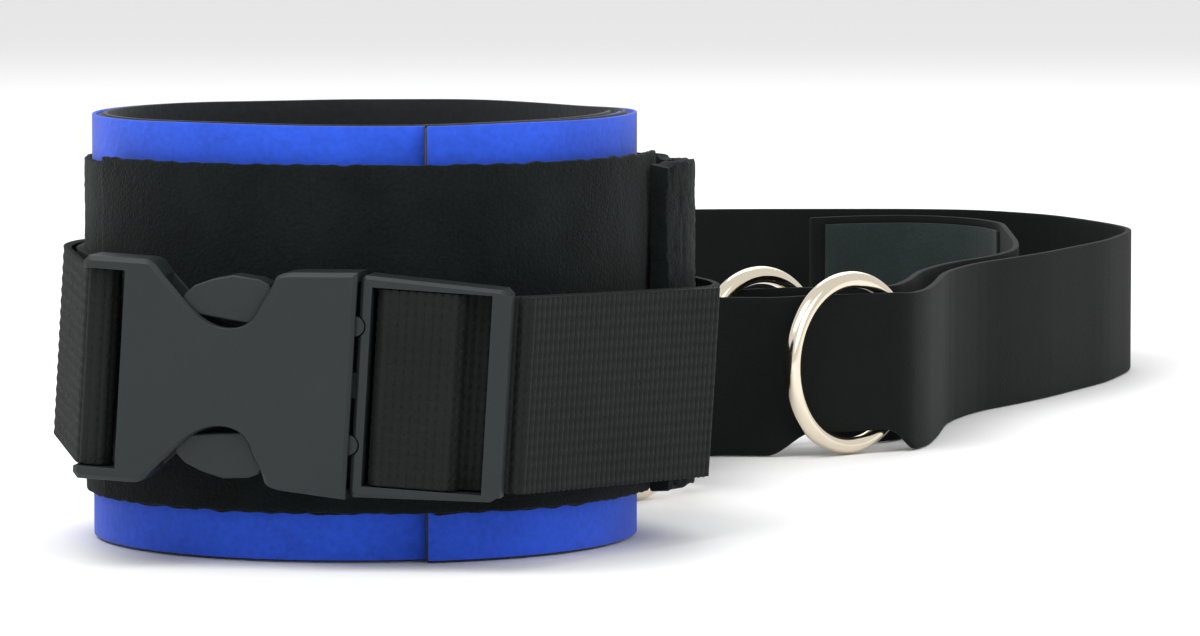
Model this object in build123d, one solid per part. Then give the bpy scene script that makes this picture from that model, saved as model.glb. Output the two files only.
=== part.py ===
from build123d import *
from math import acos, atan2, cos, degrees, hypot, pi, radians, sin, tan
import os

# Ankle cuff weight: a neoprene cuff wrapped on its axis, a side release belt round it and a long
# ringed strap lying in a coil behind. Sizes are millimetres. The cuff stands on its lower edge with
# its axis on Z, the front faces -Y, the buckle opens towards +X and the floor is z = 0.
# Angles round the cuff are measured from the front, towards +X.

os.makedirs("parts", exist_ok=True)

# Cuff laminate
bore_radius = 50.5
cuff_height = 86.0
lining_t = 0.9
foam_t = 1.6
jersey_t = 0.4
layer_gap = 0.05
skin_inset = 0.4
seam_angle = 16.0
lap_angle = 87.0
lap_fade = 34.0
seam_ramp = 12.0

# Pile band, hook patch, front flap and pile tab
band_t = 1.5
band_bottom = 9.5
band_top = 76.5
hook_t = 0.8
hook_inset = 3.5
flap_t = 1.5
flap_bottom = 10.0
flap_top = 78.0
flap_start = -60.0
flap_end = 84.0
tab_t = 4.5
tab_bottom = 10.0
tab_top = 76.0
tab_marks = ((118.0, 0.2), (104.4, 5.4), (91.8, 9.2), (82.0, 9.1), (73.8, 5.9))

# Belt
belt_width = 38.0
belt_t = 1.6
belt_tilt = 3.4
belt_mid_z = 36.0
belt_slack = 1.25
tab_slack = 2.3
ply_gap = 0.3
fold_gap = 1.0
fold_end_angle = -118.0
free_length = 66.0
belt_cut_gap = 0.3

# Side release buckle, drawn in its own frame: u along the slide, v up, d out from its back
buckle_angle = -9.0
buckle_gap = 0.35
buckle_t = 11.0
plate_t = 1.4
throat_half = 20.0
female_end = -42.0
female_mouth = 12.0
rail_t = 2.45
waist_half = 9.6
mouth_wall = 2.0
waist_u = -12.5
block_end_u = -26.0
slot_end_u = -33.6
web_clear = 0.25
bar_r = 2.0
bar_u = -38.9
prong_clear = 0.3
prong_reach = 22.6
lobe_clear = 0.25
hinge_u = 11.8
hinge_v = 11.5
knuckle_r = 2.0
knuckle_clear = 0.15
tongue_half = 2.5
tongue_u = -8.0
male_t = 9.5
male_start_u = 12.5
male_end_u = 42.0
male_rail_in = 2.25
male_rail_out = 1.15
slot_1_u = 14.8
middle_bar_u = 17.2
slot_2_u = 31.3
end_bar_u = 38.3
middle_bar_t = 2.7
middle_bar_d = 6.2
end_bar_t = 4.4

# Rings
ring_inner_r = 16.7
wire_r = 2.0
butt_gap = 0.25
anchor_angle = 60.0
anchor_pivot = (48.0, 46.0)
coil_ring_angle = 45.0

# Tab that holds the anchor ring
ring_tab_t = 1.2
ring_tab_low = -18.5
ring_tab_high = -1.5
ring_tab_half = 3.4
ring_tab_foot = 10.0
ring_tab_tunnel = 6.0
tack_t = 0.5

# Tail strap
strap_width = 36.0
strap_t = 1.6
loop_half = 2.8
loop_depth = 5.8
loop_grip = 20.0
ring_fit = 1.0
near_pull = (26.4, 12.0)
near_cross = (105.3, 158.7)
far_cross = (85.2, 174.6)
tape_t = 0.8
tape_edge = 2.0

# Values that follow
laminate_t = lining_t + foam_t + jersey_t + 2 * layer_gap
wall_radius = bore_radius + laminate_t
lap_radius = wall_radius + laminate_t + layer_gap
band_radius = wall_radius + layer_gap + band_t
hook_radius = band_radius + layer_gap + hook_t
flap_radius = hook_radius + layer_gap + flap_t
lap_step = lap_radius - wall_radius
ring_mid_r = ring_inner_r + wire_r
ring_centre_z = ring_mid_r + wire_r
belt_inner_r = band_radius + belt_slack
belt_half = belt_width / 2
web_half = belt_half + web_clear
end_half = web_half + rail_t
mouth_half = throat_half + mouth_wall
lobe_half = throat_half - lobe_clear
male_half_in = web_half + male_rail_in
male_half_out = web_half + male_rail_out
buckle_back = flap_radius + buckle_gap


def polar(angle, radius):
    return (radius * sin(radians(angle)), -radius * cos(radians(angle)))


def heading(angle):
    return (cos(radians(angle)), sin(radians(angle)))


def shifted(point, direction, distance):
    return (point[0] + direction[0] * distance, point[1] + direction[1] * distance)


def contour(profile, offset):
    edges = []
    steps = 6
    for start, end, first, last in profile:
        if first == last:
            edges.append(CenterArc((0, 0), first + offset, start - 90, end - start))
            continue
        points = []
        for i in range(steps + 1):
            share = i / steps
            ease = share * share * (3 - 2 * share)
            points.append(polar(start + (end - start) * share, first + (last - first) * ease + offset))
        edges.append(Spline(*points, tangents=[heading(start), heading(end)]))
    return edges


def layer(profile, inner, outer, bottom, top):
    inside = contour(profile, inner)
    outside = contour(profile, outer)
    ends = [Line(inside[0] @ 0, outside[0] @ 0), Line(inside[-1] @ 1, outside[-1] @ 1)]
    face = Face(Wire(inside + outside + ends))
    return Pos(0, 0, bottom) * extrude(face, top - bottom, dir=(0, 0, 1))


def soft_path(points, share=0.48, largest=400.0):
    radii = []
    for before, here, after in zip(points, points[1:], points[2:]):
        into = (here[0] - before[0], here[1] - before[1])
        out = (after[0] - here[0], after[1] - here[1])
        cross = into[0] * out[1] - into[1] * out[0]
        dot = into[0] * out[0] + into[1] * out[1]
        turn = abs(atan2(cross, dot))
        reach = share * min(hypot(*into), hypot(*out))
        radii.append(min(largest, reach / max(tan(turn / 2), 0.001)))
    return FilletPolyline(*points, radius=radii).edges()


def ribbon(edges, thickness, bottom, top, side=Side.LEFT):
    face = Face(Wire(edges).offset_2d(thickness, side=side, closed=True))
    return Pos(0, 0, bottom) * extrude(face, top - bottom, dir=(0, 0, 1))


def save(shape, name):
    shape.label = name
    export_step(shape, "parts/" + name + ".step")


# Cuff: lining, foam core and jersey wrap once and lap over themselves at the front right
wrap = [
    (seam_angle, lap_angle, bore_radius + lap_step, bore_radius + lap_step),
    (lap_angle, lap_angle + lap_fade, bore_radius + lap_step, bore_radius),
    (lap_angle + lap_fade, 359.5 + lap_angle, bore_radius, bore_radius),
]
foam_in = lining_t + layer_gap
foam_out = foam_in + foam_t
cuff_lining = layer(wrap, 0, lining_t, 0, cuff_height)
cuff_foam = layer(wrap, foam_in, foam_out, 0, cuff_height)
cuff_jersey = layer(wrap, foam_out + layer_gap, laminate_t, skin_inset, cuff_height - skin_inset)

# Pile band: sewn on the jersey from one side of the seam round to the other
band_run = [
    (seam_angle + 1, lap_angle, lap_step, lap_step),
    (lap_angle, lap_angle + lap_fade, lap_step, 0.0),
    (lap_angle + lap_fade, 358 + seam_angle, 0.0, 0.0),
]
band_run = [(a, b, wall_radius + c, wall_radius + d) for a, b, c, d in band_run]
pile_band = layer(band_run, layer_gap, layer_gap + band_t, band_bottom, band_top)


# Front flap with its hook patch: closes over the seam
def closing_run(start, end, radius):
    ramp_start = seam_angle - 2 - seam_ramp
    ramp_end = seam_angle - 2
    return [
        (start, ramp_start, radius, radius),
        (ramp_start, ramp_end, radius, radius + lap_step),
        (ramp_end, end, radius + lap_step, radius + lap_step),
    ]


hook_run = closing_run(flap_start + 2, flap_end - 2, band_radius)
hook_low = flap_bottom + hook_inset
hook_high = flap_top - hook_inset
hook_patch = layer(hook_run, layer_gap, layer_gap + hook_t, hook_low, hook_high)
flap_run = closing_run(flap_start, flap_end, hook_radius)
front_flap = layer(flap_run, layer_gap, layer_gap + flap_t, flap_bottom, flap_top)

# Pile tab: a folded strip that stands off the cuff at the right
tab_points = [polar(angle, band_radius + lift) for angle, lift in tab_marks]
pile_tab = ribbon(soft_path(tab_points), tab_t, tab_bottom, tab_top)

# Frames of the belt and of the buckle
belt_place = Pos(0, 0, belt_mid_z) * Rot(0, belt_tilt, 0)
buckle_out = polar(buckle_angle, 1.0)
buckle_along = heading(buckle_angle)


def on_belt(u, d):
    start = shifted((0.0, 0.0), buckle_out, buckle_back + d)
    return shifted(start, buckle_along, u)


buckle_plane = Plane(origin=on_belt(0, 0) + (0,), x_dir=buckle_along + (0,), z_dir=buckle_out + (0,))
buckle_place = belt_place * buckle_plane.location

# Belt: folded round the female bar, then round the back of the cuff to the adjuster
bar_d = buckle_t / 2
bar_centre = on_belt(bar_u, bar_d)
bar_distance = hypot(*bar_centre)
bar_angle = degrees(atan2(bar_centre[0], -bar_centre[1]))
wrap_r = bar_r + layer_gap + belt_t / 2
inner_mid = belt_inner_r + belt_t / 2
outer_mid = inner_mid + belt_t + fold_gap
inner_turn = bar_angle - degrees(acos((inner_mid + wrap_r) / bar_distance))
outer_turn = bar_angle - degrees(acos((outer_mid - wrap_r) / bar_distance))
outer_touch = shifted(bar_centre, polar(outer_turn, 1.0), wrap_r)
inner_touch = shifted(bar_centre, polar(inner_turn, 1.0), -wrap_r)
bar_far = shifted(bar_centre, buckle_along, wrap_r)
tab_start_angle, tab_start_lift = tab_marks[0]
tab_corner_r = band_radius + tab_start_lift + tab_t + tab_slack + belt_t / 2
leave_angle = tab_start_angle + degrees(acos(inner_mid / tab_corner_r))
right_points = [polar(leave_angle, inner_mid), polar(tab_start_angle, tab_corner_r)]
for angle, lift in tab_marks[1:4]:
    right_points.append(polar(angle, band_radius + lift + tab_t + tab_slack + belt_t / 2))

# The belt passes through the frame of the male half under both of its bars
main_d = 1.2 + belt_t / 2
over_d = middle_bar_d + middle_bar_t / 2 + layer_gap * 2 + belt_t / 2
free_d = main_d + belt_t + ply_gap
leave_u = male_end_u + 1.0
adjuster_bend = on_belt(leave_u, main_d)
right_points.append(adjuster_bend)
fold_start = polar(fold_end_angle, outer_mid)
belt_edges = [
    CenterArc((0, 0), outer_mid, fold_end_angle - 90, outer_turn - fold_end_angle),
    Line(polar(outer_turn, outer_mid), outer_touch),
    ThreePointArc(outer_touch, bar_far, inner_touch),
    Line(inner_touch, polar(inner_turn, inner_mid)),
    CenterArc((0, 0), inner_mid, inner_turn - 90, leave_angle - 360 - inner_turn),
]
belt_centre = Wire(belt_edges + list(soft_path(right_points)))
belt_face = Face(belt_centre.offset_2d(belt_t / 2))
belt_raw = Pos(0, 0, -belt_half) * extrude(belt_face, belt_width, dir=(0, 0, 1))
half_gap = belt_cut_gap / 2
right_cut = Pos(60, 0, 30 - half_gap) * Box(120, 120, 60)
belt_webbing = belt_place * (belt_raw - buckle_plane.location * right_cut)

# Free end of the belt: threaded over the middle bar of the male half, out under its end bar
pull = (right_points[-2][0] - adjuster_bend[0], right_points[-2][1] - adjuster_bend[1])
pull = (pull[0] / hypot(*pull), pull[1] / hypot(*pull))
rise_1 = middle_bar_u - layer_gap * 2 - belt_t / 2
rise_2 = slot_2_u + layer_gap * 2 + belt_t / 2
free_bend = on_belt(leave_u + 1.6, free_d)
stub_l = main_d + half_gap
free_points = [
    shifted(adjuster_bend, pull, stub_l),
    adjuster_bend,
    on_belt(rise_1, main_d),
    on_belt(rise_1, over_d),
    on_belt(rise_2, over_d),
    on_belt(rise_2, free_d),
    free_bend,
    shifted(free_bend, pull, free_length),
]
free_centre = Wire(soft_path(free_points, largest=2.2))
free_face = Face(free_centre.offset_2d(belt_t / 2))
free_raw = Pos(0, 0, -belt_half) * extrude(free_face, belt_width, dir=(0, 0, 1))
stub_cut = Pos(leave_u - 8, 0, half_gap - 5) * Box(20, 120, 10)
belt_free_end = belt_place * (free_raw - buckle_plane.location * stub_cut)

# Female half of the buckle: plates joined by a solid end block and two throat walls
def half_outline(sign):
    corner = [(female_end, sign * (end_half - 1.2)), (female_end + 1, sign * end_half)]
    shoulder = (-30.0, sign * end_half)
    waist = [
        shoulder,
        (-26.6, sign * (end_half - 2.2)),
        (-24.0, sign * (end_half - 4.9)),
        (-20.8, sign * (waist_half + 3.9)),
        (-17.0, sign * (waist_half + 1.1)),
        (waist_u, sign * waist_half),
        (-9.0, sign * (waist_half + 1.2)),
        (-6.6, sign * (waist_half + 5.4)),
        (-4.4, sign * (throat_half - 1.2)),
        (-0.5, sign * (throat_half + 1.2)),
    ]
    curve = Spline(*waist, tangents=[(1, 0), (1, 0.12 * sign)])
    mouth = Line(waist[-1], (female_mouth, sign * mouth_half))
    return [Line(*corner), Line(corner[1], shoulder), curve, mouth]


end_line = Line((female_end, end_half - 1.2), (female_end, 1.2 - end_half))
mouth_line = Line((female_mouth, mouth_half), (female_mouth, -mouth_half))
female_face = Face(Wire(half_outline(1) + [mouth_line] + half_outline(-1) + [end_line]))
female_raw = extrude(female_face, buckle_t, dir=(0, 0, 1))
female_block = chamfer(female_raw.faces().sort_by(Axis.Z)[-1].edges(), 0.9)
cavity_l = female_mouth - block_end_u + 1
cavity_t = buckle_t - 2 * plate_t
cavity = Pos(block_end_u + cavity_l / 2, 0, bar_d) * Box(cavity_l, 2 * throat_half, cavity_t)
window_l = slot_end_u - female_end + 1
window = Pos(slot_end_u - window_l / 2, 0, bar_d) * Box(window_l, 2 * web_half, 2 * buckle_t)
bar = Pos(bar_u, 0, bar_d) * Rot(90, 0, 0) * Cylinder(bar_r, 2 * end_half - 1.0)
buckle_female = buckle_place * (female_block - cavity - window + bar)

# Latch prongs: each turns on a knuckle seated in the end of the male half
prong_outline = [
    (hinge_u, hinge_v + knuckle_r),
    (2.0, 14.2),
    (-3.5, 15.0),
    (-5.4, 18.4),
    (-7.5, 19.3),
    (waist_u, lobe_half),
    (-16.7, 18.7),
    (-20.0, 17.3),
    (-22.0, 15.5),
    (-prong_reach, 13.5),
    (-21.0, 11.8),
    (-10.0, 10.6),
    (2.0, 10.2),
    (hinge_u, hinge_v - knuckle_r),
]
prong_t = cavity_t - 2 * prong_clear
prong = extrude(make_face(Polyline(*prong_outline, close=True)), prong_t)
prong = prong + Pos(hinge_u, hinge_v, prong_t / 2) * Cylinder(knuckle_r, prong_t)
prong = Pos(0, 0, plate_t + prong_clear) * prong
prong_upper = buckle_place * prong
prong_lower = buckle_place * mirror(prong, about=Plane.XZ)

# Male half: cross rail with the prong seats, side rails, middle bar, end bar and guide tongue
male_outline = [
    (male_start_u, male_half_in - 0.8),
    (male_start_u + 0.8, male_half_in),
    (male_end_u - 2.0, male_half_out + 0.1),
    (male_end_u, male_half_out - 2.0),
]
male_mirror = [(u, -v) for u, v in reversed(male_outline)]
male_face = make_face(Polyline(*male_outline, *male_mirror, close=True))
male_block = extrude(male_face, male_t)
male_top_edges = male_block.faces().sort_by(Axis.Z)[-1].edges()
male_block = chamfer(male_top_edges, 0.7)
frame_l = male_end_u + 1 - slot_1_u
frame_window = Pos(slot_1_u + frame_l / 2, 0, bar_d) * Box(frame_l, 2 * web_half, 2 * buckle_t)
bar_span = 2 * web_half + 0.6
middle_l = slot_2_u - middle_bar_u
middle_box = Box(middle_l, bar_span, middle_bar_t)
middle_box = fillet(middle_box.edges().filter_by(Axis.Y), middle_bar_t / 2 - 0.05)
middle_bar = Pos(middle_bar_u + middle_l / 2, 0, middle_bar_d) * middle_box
end_l = male_end_u - end_bar_u
end_bar = Pos(end_bar_u + end_l / 2, 0, male_t - end_bar_t / 2) * Box(end_l, bar_span, end_bar_t)
seat_r = knuckle_r + knuckle_clear
seat = Cylinder(seat_r, 3 * buckle_t)
tongue_l = slot_1_u - tongue_u
tongue_d = (plate_t + prong_clear, male_t - plate_t)
tongue_t = tongue_d[1] - tongue_d[0]
tongue_at = Pos(tongue_u + tongue_l / 2, 0, tongue_d[0] + tongue_t / 2)
tongue = tongue_at * Box(tongue_l, 2 * tongue_half, tongue_t)
male_solid = male_block - frame_window + middle_bar + end_bar + tongue
for side in (1, -1):
    male_solid = male_solid - Pos(hinge_u, side * hinge_v, 0) * seat
buckle_male = buckle_place * male_solid


# Rings: plain wire rings, bent round and butted, standing on the floor
def wire_ring(angle):
    arc = 360 - degrees(butt_gap / ring_mid_r)
    ring = Torus(ring_mid_r, wire_r, major_angle=arc)
    return Rot(0, 0, angle) * (Rot(90, 0, 0) * ring)


anchor_along = (cos(radians(anchor_angle)), sin(radians(anchor_angle)))
anchor_centre = shifted(anchor_pivot, anchor_along, ring_mid_r)
anchor_outer = shifted(anchor_pivot, anchor_along, 2 * ring_mid_r)
anchor_ring = Pos(*anchor_centre, ring_centre_z) * wire_ring(anchor_angle)
strap_ring_near = Pos(*near_cross, ring_centre_z) * wire_ring(coil_ring_angle)
strap_ring_far = Pos(*far_cross, ring_centre_z) * wire_ring(coil_ring_angle)

# Ring tab: webbing arched over the inner side of the anchor ring and sewn to the belt
belt_normal = polar(leave_angle, 1.0)
belt_forward = (-heading(leave_angle)[0], -heading(leave_angle)[1])
pivot_out = anchor_pivot[0] * belt_normal[0] + anchor_pivot[1] * belt_normal[1]
pivot_along = anchor_pivot[0] * belt_forward[0] + anchor_pivot[1] * belt_forward[1]
foot_out = inner_mid + belt_t / 2 + layer_gap + ring_tab_t / 2
arch_out = pivot_out + ring_tab_tunnel + ring_tab_t / 2
arch_half = ring_tab_half + ring_tab_t / 2


def by_belt(along, out):
    start = shifted((0.0, 0.0), belt_normal, out)
    return shifted(start, belt_forward, along)


tab_arch = [
    by_belt(pivot_along - ring_tab_foot, foot_out),
    by_belt(pivot_along - arch_half, foot_out),
    by_belt(pivot_along - arch_half, arch_out),
    by_belt(pivot_along + arch_half, arch_out),
    by_belt(pivot_along + arch_half, foot_out),
    by_belt(pivot_along + ring_tab_foot, foot_out),
]
arch_face = Face(Wire(soft_path(tab_arch, largest=2.6)).offset_2d(ring_tab_t / 2))
arch_high = ring_tab_high - ring_tab_low
ring_tab = belt_place * Pos(0, 0, ring_tab_low) * extrude(arch_face, arch_high, dir=(0, 0, 1))


def tack(centre, along, length, thickness, low, high):
    turn = degrees(atan2(along[1], along[0]))
    box = Box(length, thickness, high - low)
    return Pos(centre[0], centre[1], (low + high) / 2) * Rot(0, 0, turn) * box


tack_out = foot_out + ring_tab_t / 2 + layer_gap + tack_t / 2
tab_tacks = []
for side in (-1, 1):
    spot = by_belt(pivot_along + side * (ring_tab_foot - 2.4), tack_out)
    tab_tacks.append(tack(spot, belt_forward, 3.0, tack_t, ring_tab_low + 2, ring_tab_high - 2))
ring_tab_stitching = belt_place * Compound(children=tab_tacks)

# Bar tack that closes the fold of the belt at the left
fold_tack_r = outer_mid + belt_t / 2 + layer_gap
fold_tack_run = [(fold_end_angle + 4, fold_end_angle + 12, fold_tack_r, fold_tack_r)]
belt_fold_tack = belt_place * layer(fold_tack_run, 0, tack_t, 3 - belt_half, belt_half - 3)

# Tail strap: looped round the outer side of the anchor ring, then laid in a double coil
loop_side = (-anchor_along[1], anchor_along[0])
loop_mid = loop_half + strap_t / 2
loop_reach = loop_depth + 0.4
ply_pitch = strap_t + layer_gap * 2
root_y = 113.0
root_x = 65.6
loop_corners = []
for side, reach in ((1, 6.0), (1, -loop_reach), (-1, -loop_reach), (-1, 6.0)):
    corner = shifted(anchor_outer, anchor_along, reach)
    loop_corners.append(shifted(corner, loop_side, side * loop_mid))
near_in = shifted(near_cross, near_pull, -0.5)
near_out = shifted(near_cross, near_pull, 0.5)
strap_points = [
    (root_x - ply_pitch / 2, root_y),
    (root_x - ply_pitch / 2, 98.0),
    *loop_corners,
    (root_x + ply_pitch / 2, 98.0),
    (root_x + ply_pitch / 2, root_y),
    (62.0, 135.0),
    (66.0, 151.0),
    (78.0, 154.5),
    near_in,
    near_out,
    (121.8, 172.0),
    (124.0, 180.0),
    (127.0, 200.0),
    (131.0, 235.0),
    (140.0, 262.0),
    (150.0, 280.0),
    (159.0, 298.0),
    (169.0, 322.0),
    (177.0, 341.0),
    (185.0, 372.0),
    (186.5, 388.0),
    (183.0, 404.0),
    (176.0, 425.0),
    (168.0, 443.0),
    (151.0, 461.0),
    (132.0, 465.0),
    (77.0, 464.0),
    (40.0, 455.0),
    (0.0, 410.0),
    (-15.0, 330.0),
    (0.0, 250.0),
    (35.0, 190.0),
    (58.0, 168.0),
    (72.0, 168.0),
    (98.0, 181.0),
    (110.0, 182.0),
    (117.0, 190.0),
    (121.0, 208.0),
    (125.0, 238.0),
    (134.0, 265.0),
    (145.0, 285.0),
    (152.0, 308.0),
    (154.0, 335.0),
    (154.5, 395.0),
]
end_run = [(154.5, 408.0), (149.0, 425.0), (135.0, 439.0), (117.0, 436.0), (105.0, 428.0)]
strap_centre = Wire(soft_path(strap_points + end_run))
strap_face = Face(strap_centre.offset_2d(strap_t / 2))
strap_raw = extrude(strap_face, strap_width, dir=(0, 0, 1))
pinch_half = ring_inner_r - ring_fit
pinch_low = ring_centre_z - pinch_half
pinch_high = ring_centre_z + pinch_half
strap_tall = extrude(strap_face, max(strap_width, pinch_high) + 1, dir=(0, 0, 1))

# The strap rises clear of the floor inside each ring and narrows where it grips the anchor ring
ramp_r = 19.0
flat_r = 10.5
pinch_profile = [
    (0, pinch_low),
    (flat_r, pinch_low),
    (ramp_r, 0),
    (ramp_r, strap_width),
    (flat_r, pinch_high),
    (0, pinch_high),
]
pinch_face = make_face(Plane.XZ * Polyline(*pinch_profile, close=True))
pinch_solid = revolve(pinch_face, Axis.Z)
tail_strap = strap_raw
for spot in (near_cross, far_cross):
    well = Pos(*spot, strap_width / 2) * Cylinder(ramp_r, strap_width + 2)
    tail_strap = tail_strap - well
for spot in (near_cross, far_cross):
    tail_strap = tail_strap + (strap_tall & (Pos(*spot, 0) * pinch_solid))
grip_low = ring_centre_z - loop_grip / 2
grip_high = ring_centre_z + loop_grip / 2
grip_side = [
    (-30, -1),
    (6, -1),
    (30, -1),
    (30, 0),
    (6, grip_low),
    (-30, grip_low),
]
grip_over = [
    (-30, strap_width + 1),
    (30, strap_width + 1),
    (30, strap_width),
    (6, grip_high),
    (-30, grip_high),
]
grip_frame = Plane(origin=anchor_outer + (0,), x_dir=(0, 1, 0), z_dir=(1, 0, 0)).location
for outline in (grip_side, grip_over):
    wedge = extrude(make_face(Polyline(*outline, close=True)), 30, both=True)
    tail_strap = tail_strap - grip_frame * wedge

# Hook tape on the free end of the strap, and the tack that closes its root
tape_edges = soft_path((strap_points + end_run)[-7:])
tape_in = strap_t / 2 + layer_gap
tape_high = strap_width - 2 * tape_edge
tape_outer = ribbon(tape_edges, tape_in + tape_t, tape_edge, tape_edge + tape_high)
tape_cut = Pos(end_run[-1][0], end_run[-1][1], strap_width / 2) * Box(8, 16, 2 * strap_width)
tape_start = Pos(154.5, 365.0, strap_width / 2) * Box(16, 60, 2 * strap_width)
tail_hook_tape = tape_outer - ribbon(tape_edges, tape_in, 0, strap_width) - tape_cut - tape_start
root_tack_x = root_x + ply_pitch / 2 + strap_t / 2 + 0.1 + tack_t / 2
tail_root_tack = tack((root_tack_x, root_y - 7), (0, 1), 6.0, tack_t, 8, strap_width - 8)

nodes = {
    "cuff_lining": cuff_lining,
    "cuff_foam": cuff_foam,
    "cuff_jersey": cuff_jersey,
    "pile_band": pile_band,
    "hook_patch": hook_patch,
    "front_flap": front_flap,
    "pile_tab": pile_tab,
    "belt_webbing": belt_webbing,
    "belt_fold_tack": belt_fold_tack,
    "belt_free_end": belt_free_end,
    "buckle_female": buckle_female,
    "buckle_male": buckle_male,
    "prong_upper": prong_upper,
    "prong_lower": prong_lower,
    "ring_tab": ring_tab,
    "ring_tab_stitching": ring_tab_stitching,
    "anchor_ring": anchor_ring,
    "strap_ring_near": strap_ring_near,
    "strap_ring_far": strap_ring_far,
    "tail_strap": tail_strap,
    "tail_root_tack": tail_root_tack,
    "tail_hook_tape": tail_hook_tape,
}
for name, shape in nodes.items():
    save(shape, name)
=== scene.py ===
import math

import bmesh
import bpy
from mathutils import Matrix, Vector
from mathutils.noise import noise


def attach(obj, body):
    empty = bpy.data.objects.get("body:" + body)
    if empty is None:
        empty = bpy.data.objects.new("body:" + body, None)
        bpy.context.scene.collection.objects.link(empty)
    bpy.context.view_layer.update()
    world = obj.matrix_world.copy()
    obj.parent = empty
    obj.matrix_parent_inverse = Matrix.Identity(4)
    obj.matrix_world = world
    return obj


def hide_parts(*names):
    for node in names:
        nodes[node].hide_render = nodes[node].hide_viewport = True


bl_info = {
    "name": "Ankle Cuff Weight",
    "version": (1, 0, 0),
    "blender": (4, 5, 0),
    "location": "View3D > Sidebar > Ankle Cuff",
    "description": "A wrapped neoprene ankle cuff with a buckled belt and a ringed strap",
    "category": "Object",
}

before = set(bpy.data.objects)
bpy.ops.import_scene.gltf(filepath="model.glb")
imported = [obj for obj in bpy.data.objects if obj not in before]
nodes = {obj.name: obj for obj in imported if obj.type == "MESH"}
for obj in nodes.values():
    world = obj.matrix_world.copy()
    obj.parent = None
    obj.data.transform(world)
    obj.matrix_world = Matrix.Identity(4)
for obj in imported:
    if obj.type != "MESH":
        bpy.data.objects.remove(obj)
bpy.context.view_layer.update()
MM = 0.001


class CuffSizes(bpy.types.PropertyGroup):
    """Sizes and colours of the cuff and its bands"""
    bore: bpy.props.FloatProperty(name="Bore radius", description="Inside of the wrap",
                                  default=50.5, unit="NONE")
    height: bpy.props.FloatProperty(name="Cuff height", description="Height of the wrap",
                                    default=86.0, unit="NONE")
    blue: bpy.props.FloatVectorProperty(name="Jersey blue", description="Face of the neoprene",
                                        subtype="COLOR", default=(0.018, 0.075, 0.56))
    pile: bpy.props.FloatVectorProperty(name="Pile black", description="Loop pile",
                                        subtype="COLOR", default=(0.0045, 0.0066, 0.0066))


class StrapSizes(bpy.types.PropertyGroup):
    """Sizes and colours of the belt, the strap and the rings"""
    rib: bpy.props.FloatProperty(name="Rib pitch", description="Spacing of the belt's ribs in mm",
                                 default=1.7, unit="NONE")
    belt: bpy.props.FloatVectorProperty(name="Belt black", description="Ribbed webbing",
                                        subtype="COLOR", default=(0.0045, 0.0058, 0.0052))
    strap: bpy.props.FloatVectorProperty(name="Strap black", description="Smooth webbing",
                                         subtype="COLOR", default=(0.0040, 0.0052, 0.0046))
    tape: bpy.props.FloatVectorProperty(name="Tape grey", description="Tape on the free end",
                                        subtype="COLOR", default=(0.014, 0.023, 0.021))
    plastic: bpy.props.FloatVectorProperty(name="Buckle black", description="Satin plastic",
                                           subtype="COLOR", default=(0.013, 0.0175, 0.0175))
    nickel: bpy.props.FloatVectorProperty(name="Nickel", description="Wire rings",
                                          subtype="COLOR", default=(0.78, 0.70, 0.56))


def polar(angle, radius):
    return Vector((radius * math.sin(math.radians(angle)), -radius * math.cos(math.radians(angle))))


def heading(angle):
    return Vector((math.cos(math.radians(angle)), math.sin(math.radians(angle))))


def contour(profile, step=1.5):
    """Points of a layer that follows the cuff, in mm, from (start, end, first, last) runs."""
    points = []
    for start, end, first, last in profile:
        count = max(2, int(abs(end - start) / step))
        for i in range(count + 1):
            share = i / count
            ease = share * share * (3 - 2 * share)
            points.append(polar(start + (end - start) * share, first + (last - first) * ease))
    return points


def rounded(points, share=0.48, largest=400.0):
    """Fills each corner of a run of points with an arc, as close-set points."""
    points = [Vector(p) for p in points]
    made = [points[0]]
    for before, here, after in zip(points, points[1:], points[2:]):
        into, out = here - before, after - here
        turn = into.angle_signed(out)
        if abs(turn) < 0.004:
            made.append(here)
            continue
        reach = share * min(into.length, out.length)
        radius = min(largest, reach / math.tan(abs(turn) / 2))
        reach = radius * math.tan(abs(turn) / 2)
        first = here - into.normalized() * reach
        last = here + out.normalized() * reach
        count = max(3, int(abs(turn) * 14))
        for i in range(count + 1):
            t = i / count
            made.append(first.lerp(here, t).lerp(here.lerp(last, t), t))
    made.append(points[-1])
    return made


def measured(points):
    """Drops doubled points and gives each its distance along the run."""
    kept = [points[0]]
    for p in points[1:]:
        if (p - kept[-1]).length > 0.02:
            kept.append(p)
    marks = [0.0]
    for a, b in zip(kept, kept[1:]):
        marks.append(marks[-1] + (b - a).length)
    return kept, marks


def along(run, distance):
    points, marks = run
    low, high = 0, len(marks) - 1
    distance = min(max(distance, 0.0), marks[-1])
    while high - low > 1:
        mid = (low + high) // 2
        if marks[mid] <= distance:
            low = mid
        else:
            high = mid
    share = (distance - marks[low]) / max(marks[high] - marks[low], 1e-6)
    before = points[max(low - 1, 0)]
    after = points[min(high + 1, len(points) - 1)]
    tangent = (after - before).normalized()
    return points[low].lerp(points[high], share), Vector((tangent.y, -tangent.x))


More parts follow.
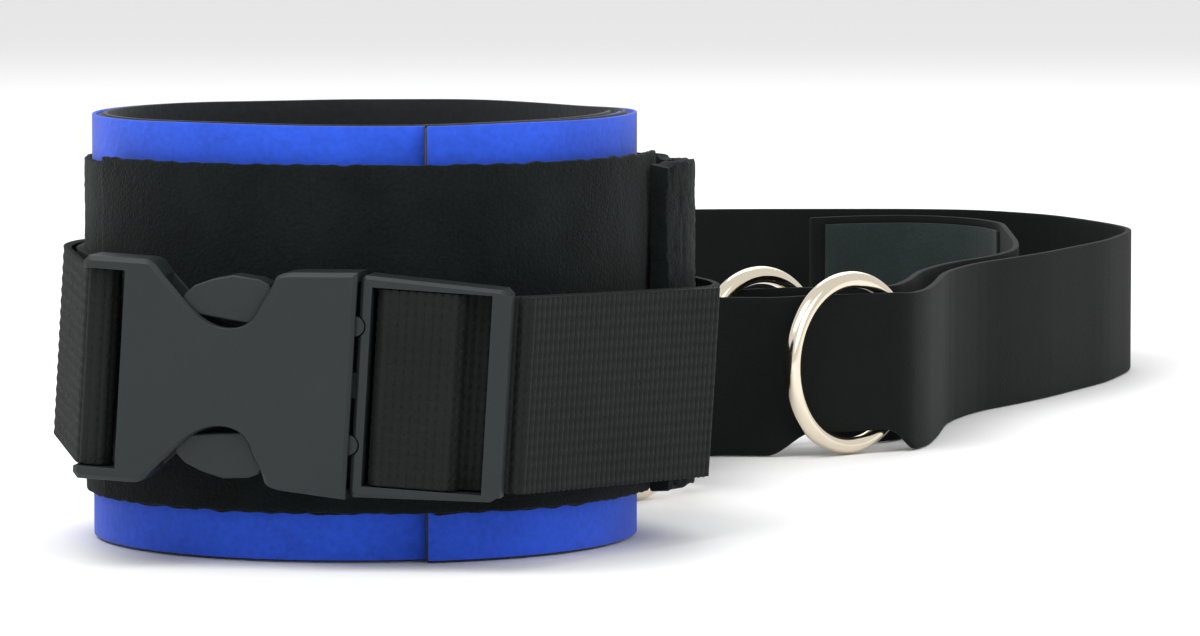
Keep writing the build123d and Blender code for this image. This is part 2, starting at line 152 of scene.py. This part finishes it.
def strip(name, points, low, high, thick, pitch, rows, material, body, *, replace=(), lift=None,
          shape=None, bevel=0.0, tilt=False):
    """A band of cloth that follows a run of points; low and high are heights or functions of place."""
    name = name.replace(" ", "_")
    run = measured(points)
    length = run[1][-1]
    columns = max(4, int(length / pitch))
    bm = bmesh.new()
    bmesh.ops.create_grid(bm, x_segments=columns, y_segments=rows, size=0.5, calc_uvs=True)
    layer = bm.loops.layers.uv.verify()
    for face in bm.faces:
        for loop in face.loops:
            spot = loop.vert.co
            loop[layer].uv = ((spot.x + 0.5) * length * MM, (spot.y + 0.5) * 0.04)
    for v in bm.verts:
        s, t = (v.co.x + 0.5) * length, v.co.y + 0.5
        place, normal = along(run, s)
        bottom = low(place, s) if callable(low) else low
        top = high(place, s) if callable(high) else high
        out = lift(s, t, place) if lift else 0.0
        z = bottom + (top - bottom) * t
        if shape:
            z += shape(s, t, place)
        spot = place + normal * out
        v.co = Vector((spot.x, spot.y, z)) * MM
    if tilt:
        for v in bm.verts:
            v.co = belt_tilted(v.co)
    bmesh.ops.recalc_face_normals(bm, faces=bm.faces[:])
    mesh = bpy.data.meshes.new(name)
    bm.to_mesh(mesh)
    bm.free()
    obj = bpy.data.objects.new(name, mesh)
    bpy.context.scene.collection.objects.link(obj)
    solid = obj.modifiers.new("thickness", "SOLIDIFY")
    solid.thickness = thick * MM
    solid.offset = 0.0
    if bevel:
        edge = obj.modifiers.new("edge", "BEVEL")
        edge.width = bevel * MM
        edge.segments = 2
        edge.limit_method = "ANGLE"
        edge.angle_limit = math.radians(50)
    for p in mesh.polygons:
        p.use_smooth = True
    mesh.materials.append(material)
    return seat(obj, body, replace)


def seat(obj, body, replace):
    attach(obj, body)
    if replace:
        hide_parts(*replace)
    return obj


TILT = math.radians(3.4)
BELT_Z = 36.0 * MM


def belt_tilted(co):
    z = co.z
    return Vector((co.x * math.cos(TILT) + z * math.sin(TILT), co.y,
                   BELT_Z + z * math.cos(TILT) - co.x * math.sin(TILT)))


# Materials ---------------------------------------------------------------------------------

def cloth_group():
    """Fine mottle and a small relief shared by the cloths."""
    if "cloth grain" in bpy.data.node_groups:
        return bpy.data.node_groups["cloth grain"]
    group = bpy.data.node_groups.new("cloth grain", "ShaderNodeTree")
    for socket, kind, value in (("Color", "NodeSocketColor", None), ("Scale", "NodeSocketFloat", 900.0),
                                ("Mottle", "NodeSocketFloat", 0.3), ("Depth", "NodeSocketFloat", 0.3)):
        made = group.interface.new_socket(socket, in_out="INPUT", socket_type=kind)
        if value is not None:
            made.default_value = value
    group.interface.new_socket("Color", in_out="OUTPUT", socket_type="NodeSocketColor")
    group.interface.new_socket("Normal", in_out="OUTPUT", socket_type="NodeSocketVector")
    new, link = group.nodes.new, group.links.new
    inputs, outputs = new("NodeGroupInput"), new("NodeGroupOutput")
    coords, fine, broad = new("ShaderNodeTexCoord"), new("ShaderNodeTexNoise"), new("ShaderNodeTexNoise")
    link(coords.outputs["Object"], fine.inputs["Vector"])
    link(coords.outputs["Object"], broad.inputs["Vector"])
    link(inputs.outputs["Scale"], fine.inputs["Scale"])
    fine.inputs["Detail"].default_value = 3.0
    broad.inputs["Scale"].default_value = 60.0
    both = new("ShaderNodeMath")
    both.operation = "ADD"
    link(fine.outputs["Fac"], both.inputs[0])
    link(broad.outputs["Fac"], both.inputs[1])
    spread = new("ShaderNodeMapRange")
    spread.inputs["From Min"].default_value = 0.7
    spread.inputs["From Max"].default_value = 1.3
    spread.inputs["To Min"].default_value = 0.55
    spread.inputs["To Max"].default_value = 1.45
    link(both.outputs[0], spread.inputs["Value"])
    scaled = new("ShaderNodeVectorMath")
    scaled.operation = "SCALE"
    link(inputs.outputs["Color"], scaled.inputs[0])
    link(spread.outputs[0], scaled.inputs["Scale"])
    mix = new("ShaderNodeMix")
    mix.data_type = "RGBA"
    link(inputs.outputs["Mottle"], mix.inputs[0])
    link(inputs.outputs["Color"], mix.inputs[6])
    link(scaled.outputs[0], mix.inputs[7])
    bump = new("ShaderNodeBump")
    bump.inputs["Distance"].default_value = 0.0004
    link(inputs.outputs["Depth"], bump.inputs["Strength"])
    link(fine.outputs["Fac"], bump.inputs["Height"])
    link(mix.outputs[2], outputs.inputs["Color"])
    link(bump.outputs[0], outputs.inputs["Normal"])
    return group


def cloth(name, colour, slot, scale=900.0, mottle=0.5, depth=0.5, rough=0.9, sheen=0.2, specular=0.25):
    material = bpy.data.materials.new(name)
    material.use_nodes = True
    tree = material.node_tree
    shader = tree.nodes["Principled BSDF"]
    grain = tree.nodes.new("ShaderNodeGroup")
    grain.node_tree = cloth_group()
    grain.inputs["Color"].default_value = (*colour, 1)
    grain.inputs["Scale"].default_value = scale
    grain.inputs["Mottle"].default_value = mottle
    grain.inputs["Depth"].default_value = depth
    tree.links.new(grain.outputs["Color"], shader.inputs["Base Color"])
    tree.links.new(grain.outputs["Normal"], shader.inputs["Normal"])
    shader.inputs["Roughness"].default_value = rough
    shader.inputs["Sheen Weight"].default_value = sheen
    shader.inputs["Specular IOR Level"].default_value = specular
    return material


def plain(name, colour, rough, metallic=0.0, specular=0.5):
    material = bpy.data.materials.new(name)
    material.use_nodes = True
    shader = material.node_tree.nodes["Principled BSDF"]
    shader.inputs["Base Color"].default_value = (*colour, 1)
    shader.inputs["Roughness"].default_value = rough
    shader.inputs["Metallic"].default_value = metallic
    shader.inputs["Specular IOR Level"].default_value = specular
    return material


# Layer radii of the wrapped cuff, in mm
LAMINATE = 3.0
GAP = 0.05
SEAM, LAP, FADE = 16.0, 87.0, 34.0


def radii(sizes):
    wall = sizes.bore + LAMINATE
    step = LAMINATE + GAP
    band = wall + GAP + 1.5
    hook = band + GAP + 0.8
    return wall, step, band, hook


def closing(start, end, radius, step):
    return [(start, 2.0, radius, radius), (2.0, 14.0, radius, radius + step),
            (14.0, end, radius + step, radius + step)]


class CUFF_OT_wrap(bpy.types.Operator):
    """Neoprene wrap: blue jersey, foam core and black lining"""
    bl_idname = "cuff.wrap"
    bl_label = "Neoprene wrap"

    def execute(self, context):
        sizes = context.scene.cuff_sizes
        wall, step, band, hook = radii(sizes)
        blue = cloth("blue jersey", sizes.blue, "blue_jersey", 700, 0.35, 0.25, 0.85, 0.15, 0.2)
        dark = cloth("black lining", (0.008, 0.010, 0.011), "black_lining", 700, 0.5, 0.4)
        for label, depth, thick, material, low, high, node in (
                ("blue cuff jersey", 2.6, 0.75, blue, 0.35, 85.75, "cuff_jersey"),
                ("cuff foam core", 1.5, 1.4, dark, 0.0, 85.3, "cuff_foam"),
                ("black cuff lining", 0.4, 0.75, dark, 0.35, 85.9, "cuff_lining")):
            path = contour([(SEAM, LAP, sizes.bore + step + depth, sizes.bore + step + depth),
                            (LAP, LAP + FADE, sizes.bore + step + depth, sizes.bore + depth),
                            (LAP + FADE, 359.5 + LAP, sizes.bore + depth, sizes.bore + depth)])

            def edge(place, s):
                return 0.45 * noise(Vector((place.x * 0.03, place.y * 0.03, 4.0)))

            def top(place, s, high=high):
                curl = 0.9 * math.exp(-((s - 1.0) / 2.2) ** 2) * 0
                return high - 0.35 + edge(place, s) + curl

            obj = strip(label, path, low, top, thick, 1.6, 30, material, "cuff",
                        replace=(node,), bevel=0.25)
            obj if node == "cuff_foam" else None
        return {"FINISHED"}


class CUFF_OT_bands(bpy.types.Operator):
    """Pile band, front flap, hook patch and pile tab"""
    bl_idname = "cuff.bands"
    bl_label = "Pile bands"

    def execute(self, context):
        sizes = context.scene.cuff_sizes
        wall, step, band, hook = radii(sizes)
        pile = cloth("black pile", sizes.pile, "black_pile", 1500, 0.9, 0.8, 0.95, 0.06, 0.10)
        mid = wall + GAP + 0.75

        def fuzz(s, t, place):
            return 0.22 * noise(Vector((s * 0.9, t * 60, 2.0))) + 0.25 * noise(Vector((s * 0.1, t * 5, 7.0)))

        def ragged(base, reach):
            return lambda place, s: base + reach * noise(Vector((s * 0.35, base, 1.0)))

        path = contour([(SEAM + 1, LAP, mid + step, mid + step), (LAP, LAP + FADE, mid + step, mid),
                        (LAP + FADE, 358 + SEAM, mid, mid)])
        strip("pile band", path, ragged(9.6, 0.4), ragged(76.4, 0.4), 1.3, 1.0, 60, pile, "cuff",
              replace=("pile_band",), lift=fuzz, bevel=0.3)
        mid = hook + GAP + 0.75
        path = contour(closing(-60.0, 84.0, mid, step))
        strip("front flap", path, ragged(10.1, 0.4), ragged(77.9, 0.5), 1.3, 1.0, 60, pile, "cuff",
              replace=("front_flap",), lift=fuzz, bevel=0.3)
        marks = ((118.0, 0.2), (104.4, 5.4), (91.8, 9.2), (82.0, 9.1), (73.8, 5.9))
        path = rounded([polar(a, band + lift + 2.25) for a, lift in marks])

        def shaggy(s, t, place):
            return 0.45 * noise(Vector((s * 0.6, t * 40, 5.0)))

        strip("pile tab", path, ragged(10.6, 0.8), ragged(75.6, 0.9), 3.9, 0.8, 70, pile, "cuff",
              replace=("pile_tab",), lift=shaggy, bevel=0.6)
        nodes["hook_patch"].data.materials.clear()
        nodes["hook_patch"].data.materials.append(pile)
        return {"FINISHED"}


BACK = 57.8
ANGLE = -9.0


def on_belt(u, d):
    return polar(ANGLE, BACK + d) + heading(ANGLE) * u


def belt_paths():
    """Centre lines of the belt and of its free end, in mm."""
    inner, outer, wrap_r = 56.3 + 0.8, 56.3 + 0.8 + 1.6 + 1.0, 2.0 + GAP + 0.8
    bar = on_belt(-38.9, 5.5)
    bar_angle = math.degrees(math.atan2(bar.x, -bar.y))
    inner_turn = bar_angle - math.degrees(math.acos((inner + wrap_r) / bar.length))
    outer_turn = bar_angle - math.degrees(math.acos((outer - wrap_r) / bar.length))
    band, slack = 55.05, 4.5 + 2.3 + 0.8
    leave = 118.0 + math.degrees(math.acos(inner / (band + 0.2 + slack)))
    points = contour([(-118.0, outer_turn, outer, outer)])
    touch = bar + polar(outer_turn, 1.0) * wrap_r
    back = bar - polar(inner_turn, 1.0) * wrap_r
    first = math.atan2(touch.y - bar.y, touch.x - bar.x)
    last = math.atan2(back.y - bar.y, back.x - bar.x)
    while last < first:
        last += 2 * math.pi
    for i in range(17):
        turn = first + (last - first) * i / 16
        points.append(bar + Vector((math.cos(turn), math.sin(turn))) * wrap_r)
    points += contour([(inner_turn, leave - 360, inner, inner)])
    right = [polar(leave, inner), polar(118.0, band + 0.2 + slack)]
    for a, lift in ((104.4, 5.4), (91.8, 9.2), (82.0, 9.1)):
        right.append(polar(a, band + lift + slack))
    bend = on_belt(43.0, 2.0)
    pull = (right[-1] - bend).normalized()
    right.append(bend + pull * 2.3)
    points += rounded(right)[1:]
    free_bend = on_belt(44.6, 3.9)
    free = [bend + pull * 1.9, bend, on_belt(16.3, 2.0), on_belt(16.3, 8.45), on_belt(32.2, 8.45),
            on_belt(32.2, 3.9), free_bend, free_bend + pull * 66.0]
    return points, rounded(free, largest=2.2)


class CUFF_OT_belt(bpy.types.Operator):
    """Ribbed belt and its free end"""
    bl_idname = "cuff.belt"
    bl_label = "Ribbed belt"

    def execute(self, context):
        sizes = context.scene.strap_sizes
        web = cloth("ribbed webbing", sizes.belt, "ribbed_webbing", 1400, 0.7, 0.6, 0.7, 0.02, 0.2)
        pitch = sizes.rib
        path, free = belt_paths()

        def ribs(s, t, place):
            across = math.sin(2 * math.pi * s / pitch)
            rows = math.cos(2 * math.pi * t * 17)
            return 0.26 * across * (0.65 + 0.35 * rows)

        def wavy(base):
            return lambda place, s: base + 0.12 * math.sin(2 * math.pi * s / pitch)

        strip("belt webbing", path, wavy(-19.0), wavy(19.0), 1.25, pitch / 4, 68, web, "cuff",
              replace=("belt_webbing",), lift=ribs, bevel=0.2, tilt=True)
        strip("belt free end", free, wavy(-19.0), wavy(19.0), 1.25, pitch / 4, 68, web, "male_half",
              replace=("belt_free_end",), lift=ribs, bevel=0.2, tilt=True)
        for name in ("belt_fold_tack", "ring_tab", "ring_tab_stitching"):
            nodes[name].data.materials.clear()
            nodes[name].data.materials.append(web)
        return {"FINISHED"}


class CUFF_OT_buckle(bpy.types.Operator):
    """Side release buckle with softened edges"""
    bl_idname = "cuff.buckle"
    bl_label = "Side release buckle"

    def execute(self, context):
        sizes = context.scene.strap_sizes
        material = bpy.data.materials.new("black plastic")
        material.use_nodes = True
        tree = material.node_tree
        shader = tree.nodes["Principled BSDF"]
        grain = tree.nodes.new("ShaderNodeGroup")
        grain.node_tree = cloth_group()
        grain.inputs["Color"].default_value = (*sizes.plastic, 1)
        grain.inputs["Scale"].default_value = 2500.0
        grain.inputs["Mottle"].default_value = 0.15
        grain.inputs["Depth"].default_value = 0.12
        tree.links.new(grain.outputs["Color"], shader.inputs["Base Color"])
        tree.links.new(grain.outputs["Normal"], shader.inputs["Normal"])
        shader.inputs["Roughness"].default_value = 0.45
        shader.inputs["Specular IOR Level"].default_value = 0.3
        for node, body in (("buckle_female", "cuff"), ("buckle_male", "male_half"),
                           ("prong_upper", "upper_prong"), ("prong_lower", "lower_prong")):
            source = nodes[node]
            bm = bmesh.new()
            bm.from_mesh(source.data)
            bmesh.ops.remove_doubles(bm, verts=bm.verts[:], dist=0.00001)
            bmesh.ops.dissolve_limit(bm, angle_limit=math.radians(1.0), verts=bm.verts[:],
                                     edges=bm.edges[:])
            mesh = bpy.data.meshes.new("soft_" + node)
            bm.to_mesh(mesh)
            bm.free()
            obj = bpy.data.objects.new("soft_" + node, mesh)
            context.scene.collection.objects.link(obj)
            edge = obj.modifiers.new("edge", "BEVEL")
            edge.width = 0.45 * MM
            edge.segments = 3
            edge.limit_method = "ANGLE"
            edge.angle_limit = math.radians(32)
            for p in mesh.polygons:
                p.use_smooth = True
            normals = obj.modifiers.new("shading", "WEIGHTED_NORMAL")
            normals.keep_sharp = True
            mesh.materials.clear()
            mesh.materials.append(material)
            seat(obj, body, (node,))
        return {"FINISHED"}


RINGS = (("anchor_ring", "anchor", (57.35, 62.195), 60.0),
         ("strap_ring_near", "near_ring", (105.3, 158.7), 45.0),
         ("strap_ring_far", "far_ring", (85.2, 174.6), 45.0))


class CUFF_OT_rings(bpy.types.Operator):
    """Wire rings, bent round and butted"""
    bl_idname = "cuff.rings"
    bl_label = "Wire rings"

    def execute(self, context):
        sizes = context.scene.strap_sizes
        metal = plain("nickel wire", sizes.nickel, 0.12, 1.0)
        for node, body, centre, angle in RINGS:
            bm = bmesh.new()
            made = bmesh.ops.create_circle(bm, cap_ends=True, segments=20, radius=2.0 * MM)
            turn = math.radians(angle)
            along_dir = Vector((math.cos(turn), math.sin(turn), 0))
            axis = Vector((math.sin(turn), -math.cos(turn), 0))
            middle = Vector((centre[0], centre[1], 20.7)) * MM
            for v in bm.verts:
                v.co = middle + along_dir * (18.7 * MM + v.co.x) + axis * v.co.y
            arc = 2 * math.pi - 0.25 / 18.7
            geom = bm.verts[:] + bm.edges[:] + bm.faces[:]
            bmesh.ops.spin(bm, geom=geom, cent=middle, axis=axis, angle=arc, steps=128)
            bmesh.ops.remove_doubles(bm, verts=bm.verts[:], dist=0.000001)
            bmesh.ops.recalc_face_normals(bm, faces=bm.faces[:])
            mesh = bpy.data.meshes.new("nickel_" + node)
            bm.to_mesh(mesh)
            bm.free()
            obj = bpy.data.objects.new("nickel_" + node, mesh)
            context.scene.collection.objects.link(obj)
            for p in mesh.polygons:
                p.use_smooth = len(p.vertices) == 4
            mesh.materials.append(metal)
            seat(obj, body, (node,))
        return {"FINISHED"}


NEAR, FAR = Vector((105.3, 158.7)), Vector((85.2, 174.6))


def strap_path():
    """Centre line of the strap, from its root on the anchor ring to its free end, in mm."""
    e = Vector((0.5, 0.8660254))
    f = Vector((-0.8660254, 0.5))
    outer = Vector((66.7, 78.389))
    corners = [outer + e * r + f * (side * 3.6) for side, r in ((1, 6), (1, -6.2), (-1, -6.2), (-1, 6))]
    points = [(64.75, 113.0), (64.75, 98.0), *corners, (66.45, 98.0), (66.45, 113.0), (62.0, 135.0),
              (66.0, 151.0), (78.0, 154.5), (92.1, 152.7), (118.5, 164.7), (121.8, 172.0),
              (124.0, 180.0), (127.0, 200.0), (131.0, 235.0), (140.0, 262.0), (150.0, 280.0),
              (159.0, 298.0), (169.0, 322.0), (177.0, 341.0), (185.0, 372.0), (186.5, 388.0),
              (183.0, 404.0), (176.0, 425.0), (168.0, 443.0), (151.0, 461.0), (132.0, 465.0),
              (77.0, 464.0), (40.0, 455.0), (0.0, 410.0), (-15.0, 330.0), (0.0, 250.0),
              (35.0, 190.0), (58.0, 168.0), (72.0, 168.0), (98.0, 181.0), (110.0, 182.0),
              (117.0, 190.0), (121.0, 208.0), (125.0, 238.0), (134.0, 265.0), (145.0, 285.0),
              (152.0, 308.0), (154.0, 335.0), (154.5, 395.0), (154.5, 408.0), (149.0, 425.0),
              (135.0, 439.0), (117.0, 436.0), (105.0, 428.0)]
    return rounded(points)


class CUFF_OT_strap(bpy.types.Operator):
    """Smooth strap laid in a double coil, with its tape and root tack"""
    bl_idname = "cuff.strap"
    bl_label = "Ringed strap"

    def execute(self, context):
        sizes = context.scene.strap_sizes
        web = cloth("smooth webbing", sizes.strap, "smooth_webbing", 1600, 0.4, 0.3, 0.8, 0.02, 0.12)
        tape = cloth("tape", sizes.tape, "hook_tape", 1400, 0.5, 0.5, 0.85, 0.05, 0.2)
        outer = Vector((66.7, 78.389))
        path = strap_path()
        length = measured(path)[1][-1]

        def ease(x):
            x = min(max(x, 0.0), 1.0)
            return x * x * (3 - 2 * x)

        def pinch(place):
            near = min((place - NEAR).length, (place - FAR).length)
            return 1 - ease((near - 9.5) / 10.0)

        def grip(place):
            return 1 - ease((place.y - outer.y - 4) / 24.0) if place.y < 110 else 0.0

        def low(place, s):
            return max(5.1 * pinch(place), 10.8 * grip(place)) + 0.02

        def high(place, s):
            raised = 6.0 * ease((s - length + 45) / 45)
            return 35.9 + 0.35 * pinch(place) - 5.3 * grip(place) + raised * 0 + 0.0

        strip("strap webbing", path, low, high, 1.5, 1.3, 24, web, "tail", replace=("tail_strap",),
              bevel=0.25)
        end = strap_end()
        strip("tape on free end", end, 2.0, 34.0, 0.75, 1.3, 16, tape, "tail",
              replace=("tail_hook_tape",), bevel=0.15)
        nodes["tail_root_tack"].data.materials.clear()
        nodes["tail_root_tack"].data.materials.append(web)
        return {"FINISHED"}


def strap_end():
    """Line of the tape on the near side of the strap's free end, in mm."""
    run = measured(strap_path())
    length = run[1][-1]
    points = []
    for i in range(61):
        place, normal = along(run, length - 74.0 + i * 70.0 / 60)
        points.append(place - normal * 1.26)
    return points


class CUFF_OT_stage(bpy.types.Operator):
    """Pale floor, soft light and camera"""
    bl_idname = "cuff.stage"
    bl_label = "Stage"

    def execute(self, context):
        scene = context.scene
        bm = bmesh.new()
        bmesh.ops.create_grid(bm, x_segments=1, y_segments=1, size=6.0)
        mesh = bpy.data.meshes.new("floor")
        bm.to_mesh(mesh)
        bm.free()
        floor = bpy.data.objects.new("floor", mesh)
        floor.location = (0, 0, -0.0002)
        scene.collection.objects.link(floor)
        mesh.materials.append(plain("pale floor", (0.9, 0.9, 0.9), 0.6, 0.0, 0.2))
        for name, spot, aim, size, power in (
                ("key light", (-0.5, -0.5, 1.3), (0.05, 0.1, 0.0), 1.0, 14.0),
                ("fill light", (0.9, -1.0, 0.8), (0.05, 0.1, 0.03), 1.2, 7.0),
                ("back light", (0.2, 1.5, 1.2), (0.05, 0.1, 0.03), 1.2, 9.0)):
            lamp = bpy.data.lights.new(name, "AREA")
            lamp.size, lamp.energy = size, power
            holder = bpy.data.objects.new(name, lamp)
            holder.location = spot
            direction = Vector(aim) - Vector(spot)
            holder.rotation_mode = "QUATERNION"
            holder.rotation_quaternion = direction.to_track_quat("-Z", "Y")
            scene.collection.objects.link(holder)
        world = bpy.data.worlds.new("pale room")
        world.use_nodes = True
        world.node_tree.nodes["Background"].inputs[0].default_value = (1.0, 1.0, 1.0, 1)
        world.node_tree.nodes["Background"].inputs[1].default_value = 0.85
        scene.world = world
        scene.view_settings.view_transform = "Standard"
        lens = bpy.data.cameras.new("camera")
        lens.sensor_width = 36.0
        lens.lens = 202.2
        lens.clip_start, lens.clip_end = 0.05, 50
        camera = bpy.data.objects.new("camera", lens)
        camera.location = (0.049, -1.36, 0.153)
        camera.rotation_euler = (math.radians(90 - 4.6), 0, 0)
        scene.collection.objects.link(camera)
        scene.camera = camera
        return {"FINISHED"}


class CUFF_PT_panel(bpy.types.Panel):
    """Lists the pieces of the ankle cuff"""
    bl_idname = "CUFF_PT_panel"
    bl_label = "Ankle Cuff"
    bl_space_type = "VIEW_3D"
    bl_region_type = "UI"
    bl_category = "Ankle Cuff"

    def draw(self, context):
        layout = self.layout
        for operator in OPERATORS:
            layout.operator(operator.bl_idname)
        for name in ("bore", "height", "blue", "pile"):
            layout.prop(context.scene.cuff_sizes, name)
        for name in ("rib", "belt", "strap", "tape", "plastic", "nickel"):
            layout.prop(context.scene.strap_sizes, name)


OPERATORS = (CUFF_OT_wrap, CUFF_OT_bands, CUFF_OT_belt, CUFF_OT_buckle, CUFF_OT_rings, CUFF_OT_strap,
             CUFF_OT_stage)
CLASSES = (CuffSizes, StrapSizes, *OPERATORS, CUFF_PT_panel)


def register():
    for cls in CLASSES:
        bpy.utils.register_class(cls)
    bpy.types.Scene.cuff_sizes = bpy.props.PointerProperty(type=CuffSizes)
    bpy.types.Scene.strap_sizes = bpy.props.PointerProperty(type=StrapSizes)


def unregister():
    del bpy.types.Scene.strap_sizes
    del bpy.types.Scene.cuff_sizes
    for cls in reversed(CLASSES):
        bpy.utils.unregister_class(cls)


def main():
    register()
    bpy.ops.cuff.wrap()
    bpy.ops.cuff.bands()
    bpy.ops.cuff.belt()
    bpy.ops.cuff.buckle()
    bpy.ops.cuff.rings()
    bpy.ops.cuff.strap()
    bpy.ops.cuff.stage()


if __name__ == "__main__":
    main()
